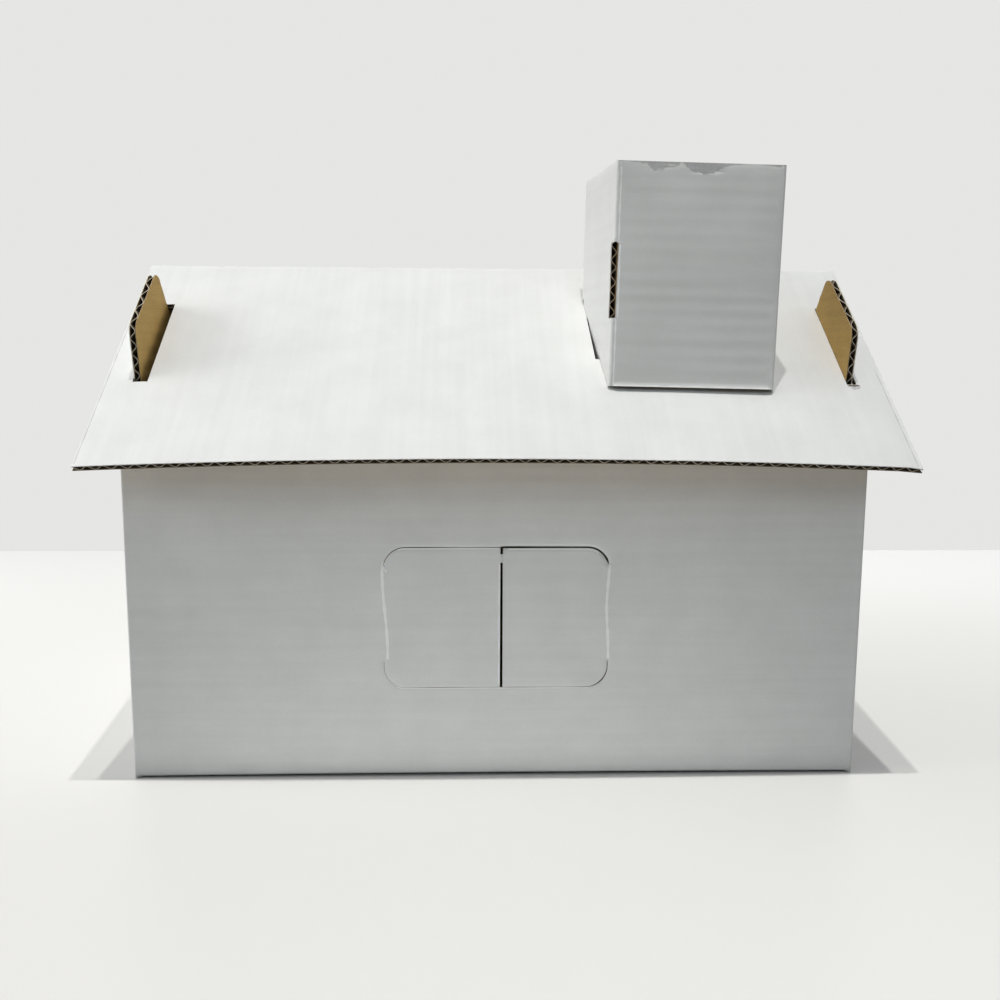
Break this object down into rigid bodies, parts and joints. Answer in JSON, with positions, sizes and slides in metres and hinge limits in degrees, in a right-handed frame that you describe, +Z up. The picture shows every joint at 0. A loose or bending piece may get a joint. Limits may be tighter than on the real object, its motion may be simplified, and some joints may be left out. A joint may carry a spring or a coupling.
{
  "type": "folded cardboard puzzle house",
  "caption": "Small push-together play house of folded corrugated board, with walls and floor, a saddle roof held by gable tabs, and a chimney sleeve on one slope.",
  "frame": {"origin": "middle of the underside of the floor", "axes": "+X along the ridge to the right of the front, +Y to the back, +Z up"},
  "size_m": [0.3252, 0.2302, 0.2513],
  "materials": {
    "board": "corrugated board, matt white coated outside and brown kraft inside"
  },
  "bodies": {
    "root": {"house_walls": "board", "roof": "board", "chimney": "board"}
  },
  "joints": []
}
